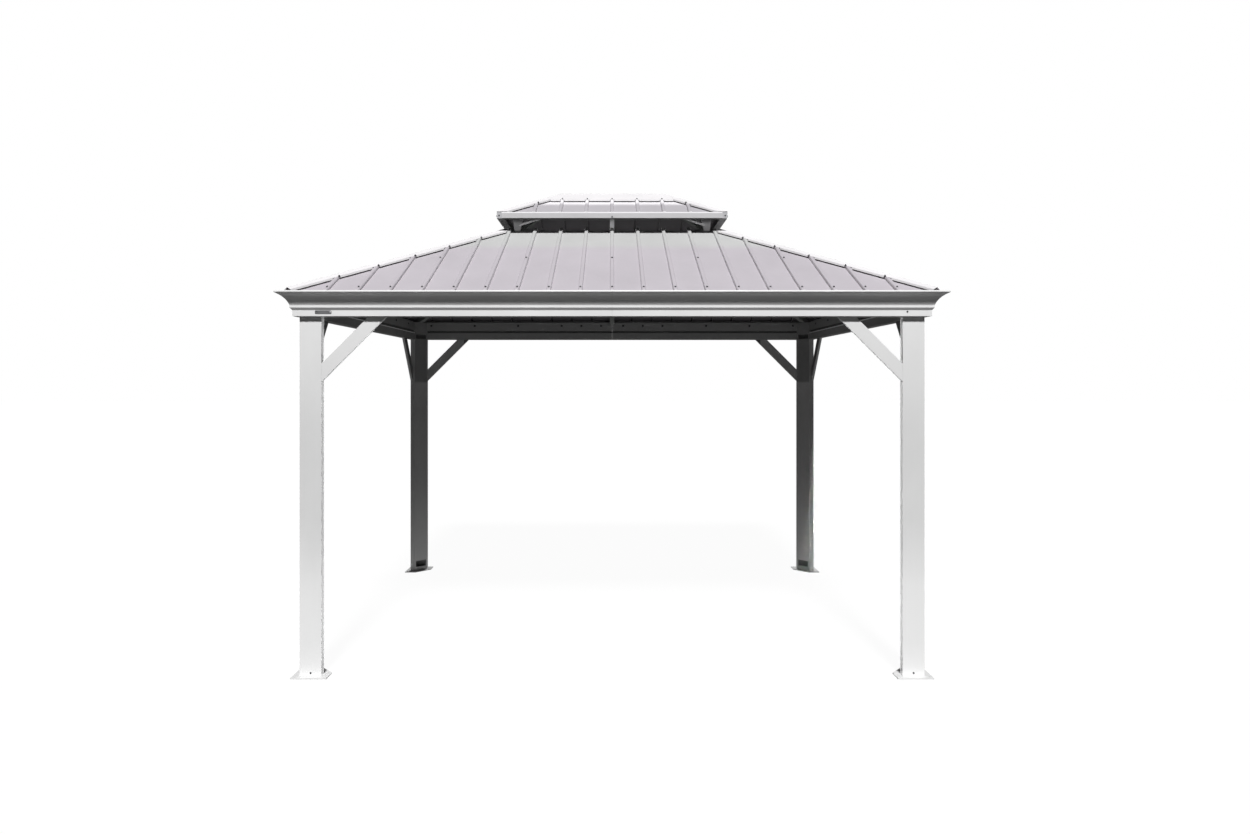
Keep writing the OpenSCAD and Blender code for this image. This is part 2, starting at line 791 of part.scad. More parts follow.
at_corner(0, 0) post();  // post_front_left
at_corner(1, 0) post();  // post_front_right
at_corner(0, 1) post();  // post_back_left
at_corner(1, 1) post();  // post_back_right
at_corner(0, 0) foot();  // foot_front_left
at_corner(1, 0) foot();  // foot_front_right
at_corner(0, 1) foot();  // foot_back_left
at_corner(1, 1) foot();  // foot_back_right
at_corner(0, 0) braces();  // braces_front_left
at_corner(1, 0) braces();  // braces_front_right
at_corner(0, 1) braces();  // braces_back_left
at_corner(1, 1) braces();  // braces_back_right
on_side(0) long_beam();  // front_beam
on_side(2) long_beam();  // back_beam
on_side(3) side_beam();  // left_beam
on_side(1) side_beam();  // right_beam
on_side(0) long_gutter();  // front_gutter
on_side(2) long_gutter();  // back_gutter
on_side(3) side_gutter();  // left_gutter
on_side(1) side_gutter();  // right_gutter
gutter_corners();
at_corner(0, 0) hip_rafter();  // hip_rafter_front_left
at_corner(1, 0) hip_rafter();  // hip_rafter_front_right
at_corner(0, 1) hip_rafter();  // hip_rafter_back_left
at_corner(1, 1) hip_rafter();  // hip_rafter_back_right
centre_rafters();
purlins();
vent_ring();
roof_panels(lower_roof, 0, panel_tail, lower_run);  // front_roof_panels
roof_panels(lower_roof, 2, panel_tail, lower_run);  // back_roof_panels
roof_panels(lower_roof, 3, panel_tail, lower_run);  // left_roof_panels
roof_panels(lower_roof, 1, panel_tail, lower_run);  // right_roof_panels
lower_hip_caps();
vent_struts();
vent_ties();
vent_eave_rails();
vent_corner_caps();
vent_hip_rafters();
ridge_beam();
vent_panels(0);  // vent_front_panels
vent_panels(2);  // vent_back_panels
vent_panels(3);  // vent_left_panels
vent_panels(1);  // vent_right_panels
vent_hip_caps();
ridge_cap();
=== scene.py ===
"""Finish of a hardtop garden gazebo: paints its metalwork and adds its screws, bolts and bare plate."""

import json
import math

import bpy
from bpy.props import FloatProperty, FloatVectorProperty, PointerProperty
from bpy.types import Operator, Panel, PropertyGroup
from mathutils import Matrix, Vector

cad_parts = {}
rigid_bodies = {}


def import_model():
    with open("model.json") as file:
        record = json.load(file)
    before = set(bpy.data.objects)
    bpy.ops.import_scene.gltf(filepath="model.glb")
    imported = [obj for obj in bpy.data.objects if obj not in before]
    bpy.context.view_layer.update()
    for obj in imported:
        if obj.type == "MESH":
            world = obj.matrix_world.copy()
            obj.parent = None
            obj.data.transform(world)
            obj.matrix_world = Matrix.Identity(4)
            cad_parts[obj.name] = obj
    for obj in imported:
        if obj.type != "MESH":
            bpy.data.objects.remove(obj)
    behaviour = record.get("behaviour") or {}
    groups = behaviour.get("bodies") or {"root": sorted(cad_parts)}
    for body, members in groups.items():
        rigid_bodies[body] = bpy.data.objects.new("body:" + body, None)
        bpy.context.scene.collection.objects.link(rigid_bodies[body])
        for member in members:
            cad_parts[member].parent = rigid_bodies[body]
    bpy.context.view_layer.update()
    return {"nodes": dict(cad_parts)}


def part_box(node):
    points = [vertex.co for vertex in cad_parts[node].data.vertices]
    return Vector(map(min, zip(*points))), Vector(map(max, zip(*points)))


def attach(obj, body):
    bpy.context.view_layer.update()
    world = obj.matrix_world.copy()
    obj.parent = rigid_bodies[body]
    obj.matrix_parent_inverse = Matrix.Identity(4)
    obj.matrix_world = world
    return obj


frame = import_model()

bl_info = {
    "name": "Garden Gazebo Finish",
    "version": (1, 0, 0),
    "blender": (4, 5, 0),
    "location": "View3D > Sidebar > Gazebo",
    "description": "Paints the gazebo's metalwork and adds its screws, bolts and bare plate",
    "category": "Object",
}

SIDES = ("front", "right", "back", "left")
WHITE = (1.0, 1.0, 1.0, 1.0)
# Finishes of the CAD nodes that are known by their whole names
NODE_FINISHES = {"front_beam": "beam", "back_beam": "beam", "left_beam": "side_beam",
                 "right_beam": "side_beam", "lower_hip_caps": "cap", "vent_hip_caps": "cap",
                 "ridge_cap": "cap", "vent_corner_caps": "corner", "vent_struts": "trim",
                 "vent_eave_rails": "trim", "vent_ties": "tie"}

# Painted light and shade by height: pairs of a height in metres and a factor on the paint
# Posts and braces: painted light, lightest at the foot where light is thrown up from the ground, darkest
# about the middle and a little lighter towards the top
POST_PAINTED_LIGHT = ((0.0, 1.0), (0.2, 0.92), (0.55, 0.88), (0.75, 0.80), (0.95, 0.735), (1.3, 0.717), (1.5, 0.722),
              (1.75, 0.772), (2.2, 0.84))
# Gutter: painted shade down the cove and under the lip, with a painted reflection in the band just below the
# lip
GUTTER_PAINTED_LIGHT = ((2.150, 0.78), (2.207, 0.78), (2.212, 0.82), (2.224, 0.82), (2.230, 0.72), (2.245, 0.76),
                (2.272, 0.80), (2.279, 1.0), (2.289, 1.0), (2.293, 0.78), (2.310, 0.78))
# Side beams: painted dark, with a narrow painted highlight along the lip of the track
SIDE_BEAM_PAINTED_LIGHT = ((2.15, 0.30), (2.2135, 0.30), (2.2145, 1.0), (2.2225, 1.0), (2.2235, 0.30), (2.32, 0.30))
# Vent trim: painted shade below a thin band along the top edge, which keeps the full paint as a painted
# highlight
TRIM_PAINTED_SHADE = ((2.88, 0.55), (2.979, 0.55), (2.983, 1.0), (2.99, 1.0))
# Painted shade on the faces that look inwards: the least cosine for that, and pairs of a height and a factor
# The posts' inner faces are painted in shade above the feet of the braces; the braces' and the vent trim's
# inner faces are painted in shade all over
POST_INNER_SHADE = (0.9, ((0.0, 1.0), (1.757, 1.0), (1.763, 0.55), (2.3, 0.55)))
BRACE_INNER_SHADE = (0.7, ((1.5, 0.35), (2.3, 0.35)))
TRIM_INNER_SHADE = (0.3, ((2.8, 0.25), (3.0, 0.25)))
# Painted shade: factors on the paint of the faces that look down
SHEET_UNDER_SHADE = 0.5
VENT_SHEET_UNDER_SHADE = 0.8
TRIM_UNDER_SHADE = 0.25
# Heights in metres between which the sheets change to their upper colour: a painted highlight on the vent
# sheets, and on the lower sheets another tint painted lighter against the vent's shade
SHEET_RISE = (2.665, 2.735)
VENT_SHEET_RISE = (3.072, 3.112)

# Powder coat: its patches of dust and their tones, its changes of gloss and its orange peel
COAT_PATCHES = {"scale": 3.2, "detail": 4.0, "stretch": (1.0, 1.0, 0.45)}
COAT_PATCH_TONES = (0.965, 1.03)
COAT_GLOSS_SCALE = 14.0
COAT_GLOSS_SPAN = (-0.06, 0.07)
COAT_SPECULAR = 0.35
COAT_GRAIN = {"scale": 420.0, "depth": 0.0004}
# Coated sheet: the same, with the slow waves of thin steel
SHEET_PATCHES = {"scale": 2.2, "detail": 4.0}
SHEET_PATCH_TONES = (0.96, 1.04)
SHEET_GLOSS_SCALE = 9.0
SHEET_GLOSS_SPAN = (-0.06, 0.08)
SHEET_ROUGH = 0.56
SHEET_SPECULAR = 0.2
SHEET_GRAIN = {"scale": 700.0, "depth": 0.0002, "wave": 0.004}
# Both: strength of the grain and of the waves, and the part of a noise that is used
GRAIN_STRENGTH = 0.35
WAVE_STRENGTH = 0.5
WAVE_NOISE = {"scale": 2.6, "detail": 1.0}
NOISE_MIDDLE = (0.3, 0.7)
# Upward part of a face's normal between which a face turns upright, or looks down
UPRIGHT_SPAN = (0.5, 0.2)
DOWN_SPAN = (-0.5, -0.3)
# Painted shade in a groove: how deep the groove is in metres, how closed it must be, and the tones
GROOVE_DEPTH = 0.06
GROOVE_SHADE_SPAN = (0.2, 0.75)
GROOVE_SHADE_TONES = (0.12, 1.0)

# Kinds of screw rows: the name of their tree and how many sides a head has
HEX_ROW = ("hex_screw_row", 6)
ROUND_ROW = ("round_screw_row", 12)
# Inputs of their trees: name, kind and first value
ROW_INPUTS = (("Geometry", "Geometry", None), ("Count", "Int", 1), ("First", "Vector", None),
              ("Step", "Vector", None), ("Facing", "Vector", None), ("Head Width", "Float", 0.01),
              ("Head Height", "Float", 0.006), ("Washer Width", "Float", 0.016), ("Finish", "Material", None))
# A screw from below: shares of its height, sides of the washer, and how far washer and crown taper
WASHER_SHARE, HEAD_SHARE, CROWN_SHARE = 0.3, 0.55, 0.15
WASHER_SIDES = 12
WASHER_TAPER = 0.86
CROWN_TAPER = 0.72
# Width of a face screw's head as a share of its flange, and of a bolt's washer as a share of its head
FACE_HEAD_SHARE = 0.82
BOLT_WASHER_SHARE = 1.5
# Seams between purlin screws, most seams on half a slope, ridge cap screws on each side of the middle one
PURLIN_SEAMS = 3
MOST_SEAMS = 40
RIDGE_SCREWS = 2
# Beam bolts on each half of a side: distance of the first from the middle, step in metres, and count
LONG_SIDE_BOLTS = ((0.104, 0.185, 3), (0.884, 0.408, 3))
SHORT_SIDE_BOLTS = ((0.204, 0.408, 3),)
# The bare plate: steps in a quarter of a rounded corner, and the share of its depth below the bevel
CORNER_STEPS = 5
PLATE_WALL = 0.6

# Suns: where they stand, seen from the gazebo, their spread in degrees and their distance in metres
KEY_PLACE = (0.03, -1.0, 1.01)
BACK_PLACE = (0.1, 1.0, 0.9)
SIDE_PLACE = (1.0, 0.1, 0.8)
VENT_PLACE = (0.0, -1.0, 0.02)
SUN_SPREAD = 8.0
VENT_SPREAD = 12.0
SUN_DISTANCE = 9.0
VENT_LIT = ("vent_struts", "vent_ties", "vent_ring")
# Light panels of a side: name, place on the right, way they face, width and height, setting of power, spread
SIDE_PANELS = (("_inner", (1.25, -1.32, 1.07), 1.0, (0.08, 2.1), "strip", 60.0),
               ("_front", (2.5, -1.35, 1.15), -1.0, (0.08, 2.3), "outer", 70.0),
               ("_back", (2.5, 1.35, 1.15), -1.0, (0.08, 2.3), "outer", 70.0),
               ("_vent", (1.6, 0.0, 2.97), -1.0, (0.9, 0.05), "rail", 12.0))
BACK_VENT_PANEL = {"place": (0.0, 1.2, 2.97), "facing": (0.0, -1.0, 0.0), "size": (1.7, 0.05), "spread": 12.0}
BACK_VENT_POWER = 1.9
# Floor: half its size, its glow and its paint as the camera sees it
FLOOR_HALF = 60.0
FLOOR_GLOW = 0.965
FLOOR_PAINT = (0.03, 0.03, 0.03, 1.0)
# Light that the floor throws up: from the front inwards, and in a pool at each back foot
BOUNCE_DEPTHS, BOUNCE_TONES = (-1.7, -0.9), (0.13, 0.052)
POOL_PLACE = (1.5, 1.0, 0.0)
POOL_DISTANCES, POOL_STRENGTHS = (0.3, 1.5), (0.46, 0.0)
# Frame of the picture and the point of it that the camera looks straight at
SENSOR_WIDTH = 36.0
PICTURE_WIDTH, PICTURE_HEIGHT = 1250.0, 834.0
LOOK_ACROSS, LOOK_DOWN = 612.1, 380.1


def colour(name, text, value):
    """Returns a colour property."""
    return FloatVectorProperty(name=name, description=text, default=value, min=0.0, max=1.0, size=3,
                               subtype="COLOR")


def length(name, text, value):
    """Returns a length property in metres."""
    return FloatProperty(name=name, description=text, default=value, min=0.0, precision=4, subtype="DISTANCE",
                         unit="LENGTH")


def slant(name, text, degrees):
    """Returns an angle property from a number of degrees."""
    return FloatProperty(name=name, description=text, default=math.radians(degrees), subtype="ANGLE",
                         unit="ROTATION")


def strength(name, text, value):
    """Returns a property for the strength or power of a light."""
    return FloatProperty(name=name, description=text, default=value, min=0.0)


class GazeboPaint(PropertyGroup):
    """Colours of the metalwork."""

    post: colour("Posts", "Powder coat of the posts and knee braces", (0.605, 0.605, 0.605))
    foot: colour("Feet", "Powder coat of the post feet", (0.54, 0.54, 0.54))
    gutter: colour("Gutter", "Powder coat of the crown gutter", (0.66, 0.66, 0.66))
    beam: colour("Beams", "Powder coat of the front and back beams", (0.36, 0.36, 0.36))
    # The side beams' light paint shows only in the painted highlight along the track's lip; elsewhere a
    # painted dark tone takes it down
    side_beam: colour("Side beams", "Powder coat of the left and right beams", (0.95, 0.95, 0.95))
    frame: colour("Roof frame", "Powder coat of the rafters and purlins", (0.30, 0.31, 0.30))
    sheet: colour("Roof sheets", "Coated steel of the standing-seam panels", (0.343, 0.322, 0.346))
    # Upper ends of the lower sheets: a more neutral tint, painted lighter against the shade of the vent
    sheet_upper_tint_and_light: colour("Roof sheets, upper ends", "Coated steel towards the vent", (0.356, 0.358, 0.356))
    # Seam sides: a painted highlight, lighter than the sheet where the upright sides of the seams catch light
    seam_highlight: colour("Seam sides", "Coated steel on the upright sides of the seams", (0.69, 0.67, 0.69))
    vent_sheet: colour("Vent sheets", "Coated steel of the vent roof", (0.314, 0.301, 0.319))
    # Upper ends of the vent sheets: a painted highlight near the ridge
    vent_sheet_highlight: colour("Vent sheets, upper ends", "Coated steel near the ridge", (0.583, 0.568, 0.588))
    cap: colour("Hip and ridge caps", "Coated steel of the folded caps", (0.55, 0.54, 0.55))
    trim: colour("Vent trim", "Powder coat of the vent's rails and struts", (0.64, 0.634, 0.646))
    corner: colour("Vent corners", "Powder coat of the vent's corner caps", (0.31, 0.31, 0.32))
    tie: colour("Vent ties", "Bright coat of the ties under the vent's eaves", (0.70, 0.70, 0.71))
    screw: colour("Screws", "Coating of the screws and bolts", (0.055, 0.055, 0.058))
    plate: colour("Plate", "Bare plate on the front fascia", (0.145, 0.145, 0.15))
    rivet: colour("Rivets", "Bright metal of the plate's rivets", (0.62, 0.62, 0.63))


class GazeboRoof(PropertyGroup):
    """Sizes of the two roofs and the gutter that the screws follow."""

    half_width: length("Half width", "Half the width over the gutter lips", 1.984)
    half_depth: length("Half depth", "Half the depth over the gutter lips", 1.502)
    sheet_height: length("Sheet height", "Height of the lower sheets at the lip", 2.2805)
    angle: slant("Angle", "Slope of the lower roof", 26.2)
    run: length("Run", "Level run of the lower roof", 1.220)
    vent_half_width: length("Vent half width", "Half the width of the vent roof", 0.831)
    vent_half_depth: length("Vent half depth", "Half the depth of the vent roof", 0.430)
    vent_sheet_height: length("Vent sheet height", "Height of the vent sheets at their lip", 2.9708)
    vent_angle: slant("Vent angle", "Slope of the vent roof", 27.5)
    seam_pitch: length("Seam pitch", "Distance from one seam to the next", 0.188)
    seam_height: length("Seam height", "Height of a seam above the sheet", 0.018)
    cap_lift: length("Cap lift", "Height of a cap's upper face above the sheet", 0.0203)
    cap_flange: length("Cap flange", "Plan width of a hip cap's flange", 0.050)
    ridge_flange: length("Ridge flange", "Plan width of the ridge cap's flange", 0.145)
    fascia_half_width: length("Fascia half width", "Half the width over the gutter's fascia", 1.905)
    fascia_half_depth: length("Fascia half depth", "Half the depth over the gutter's fascia", 1.423)


class GazeboScrews(PropertyGroup):
    """Sizes and places of the screws and bolts."""

    roof_head: length("Roof screw", "Width of a roof screw's head", 0.009)
    roof_washer: length("Roof washer", "Width of a roof screw's washer", 0.014)
    roof_rise: length("Roof screw height", "Height of a roof screw's head", 0.007)
    face_head: length("Face screw", "Width of a screw head on a fascia or post", 0.012)
    face_rise: length("Face screw height", "Height of a screw head on a fascia or post", 0.004)
    bolt_head: length("Bolt", "Width of a bolt head on a beam", 0.013)
    bolt_rise: length("Bolt height", "Height of a bolt head on a beam", 0.006)
    eave_run: length("Eave screws", "Level run from the lip to the eave screws", 0.072)
    eave_end: length("Eave screws' end", "Least distance of the eave screws from the eave's end", 0.135)
    purlin_run: length("Purlin screws", "Level run from the lip to the purlin screws", 0.582)
    purlin_end: length("Purlin screws' end", "Least distance of the purlin screws from the eave's end", 0.70)
    cap_edge: length("Cap edge", "Distance of a hip cap's screws from its edge", 0.0085)
    cap_aside: length("Cap aside", "Distance of a hip cap's screws from the middle of a seam", 0.014)
    cap_first: length("Cap first", "Least level run from the lip to a hip cap's screws", 0.10)
    cap_last: length("Cap last", "Least level run from a hip cap's screws to the vent", 0.04)
    ridge_in: length("Ridge in", "Level distance of the ridge cap's screws from its edge", 0.02)
    trim_inset: length("Vent corner inset", "Distance of the vent's corner screws from the corner", 0.0177)
    trim_height: length("Vent corner screws", "Height of the screws on the vent's corner caps", 2.9625)
    tie_height: length("Vent tie screws", "Height of the screws over the vent's ties", 2.953)
    fascia_inset: length("Fascia inset", "Distance of the fascia screws from the gutter's ends", 0.1136)
    fascia_height: length("Fascia screws", "Height of the screws on the fascia", 2.1868)
    foot_height: length("Foot screws", "Height of the screws at the posts' feet", 0.023)
    bolt_height: length("Beam bolts", "Height of the bolts on the beams", 2.2886)


class GazeboPlate(PropertyGroup):
    """Sizes and place of the bare plate and its rivets."""

    width: length("Width", "Width of the plate", 0.099)
    height: length("Height", "Height of the plate", 0.0216)
    depth: length("Depth", "Depth of the plate", 0.002)
    corner: length("Corner", "Radius of the plate's corners", 0.006)
    bevel: length("Bevel", "Width of the plate's bevel", 0.0012)
    left: length("Left", "Distance of the plate's middle to the left of the gazebo's", 1.7205)
    level: length("Level", "Height of the plate's middle above the ground", 2.1830)
    rivet_apart: length("Rivets apart", "Distance from one rivet to the other", 0.084)
    rivet_head: length("Rivet", "Width of a rivet's crown", 0.0055)
    rivet_flange: length("Rivet flange", "Width of a rivet's flange", 0.0068)
    rivet_rise: length("Rivet height", "Height of a rivet", 0.0018)


class GazeboStage(PropertyGroup):
    """Camera and light."""

    camera_distance: length("Camera distance", "Distance of the camera in front of the middle", 6.205)
    camera_height: length("Camera height", "Height of the camera", 1.7788)
    lens: FloatProperty(name="Lens", description="Focal length in millimetres", default=23.128, min=1.0)
    key: strength("Key light", "Strength of the key light", 6.0)
    fill: strength("Fill light", "Strength of the light from all round", 0.02)
    side: strength("Side light", "Strength of the lights on the back and the two sides", 2.6)
    strip: strength("Inner panels", "Power of the light panels between the front posts", 2.2)
    outer: strength("Outer panels", "Power of the light panels outside the posts", 1.3)
    rail: strength("Rail panels", "Power of the light panels on the vent's side rails", 0.2)
    vent: strength("Vent light", "Strength of the level light under the vent", 0.7)


# Nodes


def link(tree, out, target):
    """Joins two sockets of a node tree."""
    tree.links.new(out, target)


def node_of(tree, kind, inputs=None, **settings):
    """Adds a node with some settings, and fills its inputs with values or joins them to other nodes."""
    node = tree.nodes.new(kind)
    for key, value in settings.items():
        setattr(node, key, value)
    for key, value in (inputs or {}).items():
        if isinstance(value, bpy.types.NodeSocket):
            link(tree, value, node.inputs[key])
        else:
            node.inputs[key].default_value = value
    return node


def axis(tree, vector, letter):
    """Returns one of the three parts of a vector."""
    return node_of(tree, "ShaderNodeSeparateXYZ", {"Vector": vector}).outputs[letter]


def mapped(tree, value, span, target=(0.0, 1.0), kind="LINEAR"):
    """Maps a value from one span to another."""
    inputs = {"Value": value, "From Min": span[0], "From Max": span[1],
              "To Min": target[0], "To Max": target[1]}
    return node_of(tree, "ShaderNodeMapRange", inputs, interpolation_type=kind).outputs["Result"]


def mixed(tree, share, first, second, blend="MIX"):
    """Mixes two colours by a share."""
    inputs = {0: share, 6: first, 7: second}
    return node_of(tree, "ShaderNodeMix", inputs, data_type="RGBA", blend_type=blend).outputs[2]


def multiplied(tree, first, second):
    """Multiplies two colours."""
    return mixed(tree, 1.0, first, second, "MULTIPLY")


def face_normal(tree):
    """Returns the way that a face looks."""
    return node_of(tree, "ShaderNodeNewGeometry").outputs["True Normal"]


def noise(tree, coords, scale, detail=3.0, stretch=(1.0, 1.0, 1.0)):
    """Adds a noise texture on the object's own coordinates."""
    place = node_of(tree, "ShaderNodeMapping", {"Scale": stretch, "Vector": coords}).outputs["Vector"]
    inputs = {"Scale": scale, "Detail": detail, "Vector": place}
    return node_of(tree, "ShaderNodeTexNoise", inputs).outputs["Fac"]


# Materials


def start_metal(name):
    """Makes an empty painted-metal material and returns it with its tree, shader and coordinates."""
    material = bpy.data.materials.new(name)
    material.use_nodes = True
    tree = material.node_tree
    shader = tree.nodes["Principled BSDF"]
    coords = node_of(tree, "ShaderNodeTexCoord").outputs["Object"]
    return material, tree, shader, coords


def shade(base, factor=1.0):
    """Returns a colour for a socket, made lighter or darker if a factor is given."""
    return (*(min(1.0, c * factor) for c in base), 1.0)


def bump(tree, height, amount, depth):
    """Adds a bump of a height."""
    return node_of(tree, "ShaderNodeBump", {"Height": height, "Strength": amount, "Distance": depth})


def add_grain(tree, shader, coords, scale, depth, wave=0.0):
    """Gives a surface the fine orange peel of powder coat, and slow waves where it is thin sheet."""
    grain = bump(tree, noise(tree, coords, scale), GRAIN_STRENGTH, depth)
    if wave:
        slow = bump(tree, noise(tree, coords, **WAVE_NOISE), WAVE_STRENGTH, wave)
        link(tree, slow.outputs["Normal"], grain.inputs["Normal"])
    link(tree, grain.outputs["Normal"], shader.inputs["Normal"])


def add_gloss(tree, shader, coords, scale, rough, span):
    """Lets a surface's roughness change a little from place to place."""
    limits = (rough + span[0], rough + span[1])
    link(tree, mapped(tree, noise(tree, coords, scale), NOISE_MIDDLE, limits), shader.inputs["Roughness"])


def height_tone(tree, coords, stops):
    """Returns a grey factor of painted light and shade that follows the height, from stops of height and
    factor.
    """
    low, high = stops[0][0], stops[-1][0]
    share = mapped(tree, axis(tree, coords, "Z"), (low, high))
    ramp = node_of(tree, "ShaderNodeValToRGB", {"Fac": share})
    elements = ramp.color_ramp.elements
    while len(elements) < len(stops):
        elements.new(0.5)
    for element, (height, factor) in zip(elements, stops):
        element.position = (height - low) / (high - low)
        element.color = (factor, factor, factor, 1.0)
    return ramp.outputs["Color"]


def facing_in(tree, coords, least):
    """Returns 1 on faces that look towards the middle axis by at least a cosine, and 0 on the others."""
    level = node_of(tree, "ShaderNodeVectorMath", {0: coords, 1: (1.0, 1.0, 0.0)}, operation="MULTIPLY")
    outwards = node_of(tree, "ShaderNodeVectorMath", {0: level.outputs["Vector"]}, operation="NORMALIZE")
    ways = {0: face_normal(tree), 1: outwards.outputs["Vector"]}
    cosine = node_of(tree, "ShaderNodeVectorMath", ways, operation="DOT_PRODUCT").outputs["Value"]
    return node_of(tree, "ShaderNodeMath", {0: cosine, 1: -least}, operation="LESS_THAN").outputs[0]


def inner_tone(tree, coords, least, stops):
    """Returns a grey factor of painted shade that is 1, and follows the height on the faces that look
    inwards.
    """
    return mixed(tree, facing_in(tree, coords, least), WHITE, height_tone(tree, coords, stops))


def underside_tone(tree, factor):
    """Returns a factor of painted shade for the faces that look down, and 1 for the others."""
    return mapped(tree, axis(tree, face_normal(tree), "Z"), DOWN_SPAN, (factor, 1.0))


def groove_tone(tree, depth):
    """Returns a grey factor of painted shade that is low in the grooves, from ambient occlusion."""
    occlusion = node_of(tree, "ShaderNodeAmbientOcclusion", {"Distance": depth})
    return mapped(tree, occlusion.outputs["AO"], GROOVE_SHADE_SPAN, GROOVE_SHADE_TONES)


def on_upright(tree, first, second):
    """Mixes two colours by how upright a face is: the first on flat faces, the second, a painted highlight,
    on folds.
    """
    flat = node_of(tree, "ShaderNodeMath", {0: axis(tree, face_normal(tree), "Z")}, operation="ABSOLUTE")
    return mixed(tree, mapped(tree, flat.outputs[0], UPRIGHT_SPAN), first, second)


def powder_coat(name, base, rough=0.46, metal=0.0, stops=None, inside=None, under=None, groove=None):
    """Returns a satin powder coat with faint patches of dust, and with painted light and shade by height, on
    inner faces, below and in grooves if given.
    """
    material, tree, shader, coords = start_metal(name)
    patches = mapped(tree, noise(tree, coords, **COAT_PATCHES), NOISE_MIDDLE)
    paint = mixed(tree, patches, *(shade(base, tone) for tone in COAT_PATCH_TONES))
    if stops:
        paint = multiplied(tree, paint, height_tone(tree, coords, stops))
    if inside:
        paint = multiplied(tree, paint, inner_tone(tree, coords, *inside))
    if under:
        paint = multiplied(tree, paint, underside_tone(tree, under))
    if groove:
        paint = multiplied(tree, paint, groove_tone(tree, groove))
    link(tree, paint, shader.inputs["Base Color"])
    add_gloss(tree, shader, coords, COAT_GLOSS_SCALE, rough, COAT_GLOSS_SPAN)
    shader.inputs["Metallic"].default_value = metal
    shader.inputs["Specular IOR Level"].default_value = COAT_SPECULAR
    add_grain(tree, shader, coords, **COAT_GRAIN)
    return material


def coated_sheet(name, low, high=None, rise=None, seam_highlight=None, under=None):
    """Returns a coated steel sheet, with another tint and painted light at its upper end, a painted highlight
    on its folds and painted shade below if given.
    """
    material, tree, shader, coords = start_metal(name)
    paint = shade(low)
    if high:
        share = mapped(tree, axis(tree, coords, "Z"), rise, kind="SMOOTHSTEP")
        paint = mixed(tree, share, paint, shade(high))
    if seam_highlight:
        paint = on_upright(tree, paint, shade(seam_highlight))
    if under:
        paint = multiplied(tree, paint, underside_tone(tree, under))
    patches = mapped(tree, noise(tree, coords, **SHEET_PATCHES), NOISE_MIDDLE, SHEET_PATCH_TONES)
    link(tree, multiplied(tree, paint, patches), shader.inputs["Base Color"])
    add_gloss(tree, shader, coords, SHEET_GLOSS_SCALE, SHEET_ROUGH, SHEET_GLOSS_SPAN)
    shader.inputs["Specular IOR Level"].default_value = SHEET_SPECULAR
    add_grain(tree, shader, coords, **SHEET_GRAIN)
    return material


def metal_finishes(paint):
    """Makes the finish of each group of CAD nodes."""
    return {
        "post": powder_coat("post_powder_coat", paint.post, stops=POST_PAINTED_LIGHT, inside=POST_INNER_SHADE),
        "brace": powder_coat("brace_powder_coat", paint.post, stops=POST_PAINTED_LIGHT, inside=BRACE_INNER_SHADE),
        "foot": powder_coat("foot_powder_coat", paint.foot),
        "gutter": powder_coat("gutter_powder_coat", paint.gutter, rough=0.42, stops=GUTTER_PAINTED_LIGHT),
        "beam": powder_coat("beam_powder_coat", paint.beam, rough=0.5, groove=GROOVE_DEPTH),
        "side_beam": powder_coat("side_beam_coat", paint.side_beam, rough=0.4, stops=SIDE_BEAM_PAINTED_LIGHT,
                                 groove=GROOVE_DEPTH),
        "frame": powder_coat("roof_frame_coat", paint.frame, rough=0.52),
        "sheet": coated_sheet("roof_sheet_coat", paint.sheet, paint.sheet_upper_tint_and_light, SHEET_RISE, paint.seam_highlight,
                              SHEET_UNDER_SHADE),
        "vent_sheet": coated_sheet("vent_sheet_coat", paint.vent_sheet, paint.vent_sheet_highlight,
                                   VENT_SHEET_RISE, paint.seam_highlight, VENT_SHEET_UNDER_SHADE),
        "cap": coated_sheet("cap_sheet_coat", paint.cap),
        "trim": powder_coat("vent_trim_coat", paint.trim, rough=0.44, stops=TRIM_PAINTED_SHADE, inside=TRIM_INNER_SHADE,
                            under=TRIM_UNDER_SHADE),
        "corner": powder_coat("vent_corner_coat", paint.corner, rough=0.44),
        "tie": powder_coat("vent_tie_coat", paint.tie, rough=0.4),
    }


def finish_of(node):
    """Names the finish of a CAD node."""
    if node.startswith("foot_"):
        return "foot"
    if node.startswith("post_"):
        return "post"
    if node.startswith("braces_"):
        return "brace"
    if "gutter" in node:
        return "gutter"
    if node.endswith("panels"):
        return "vent_sheet" if node.startswith("vent_") else "sheet"
    return NODE_FINISHES.get(node, "frame")


# Rows of screws


def scaled(tree, value, factor):
    """Multiplies a socket by a number."""
    return node_of(tree, "ShaderNodeMath", {0: value, 1: factor}, operation="MULTIPLY").outputs[0]


def disc(tree, width, height, sides, taper, base=None):
    """Adds a low cone: its width, its height and how far up it starts are sockets."""
    inputs = {"Vertices": sides, "Side Segments": 1, "Radius Top": scaled(tree, width, 0.5 * taper),
              "Radius Bottom": scaled(tree, width, 0.5), "Depth": height}
    cone = node_of(tree, "GeometryNodeMeshCone", inputs, fill_type="NGON").outputs["Mesh"]
    if base is None:
        return cone
    offset = node_of(tree, "ShaderNodeCombineXYZ", {"Z": base}).outputs["Vector"]
    place = {"Geometry": cone, "Translation": offset}
    return node_of(tree, "GeometryNodeTransform", place).outputs["Geometry"]


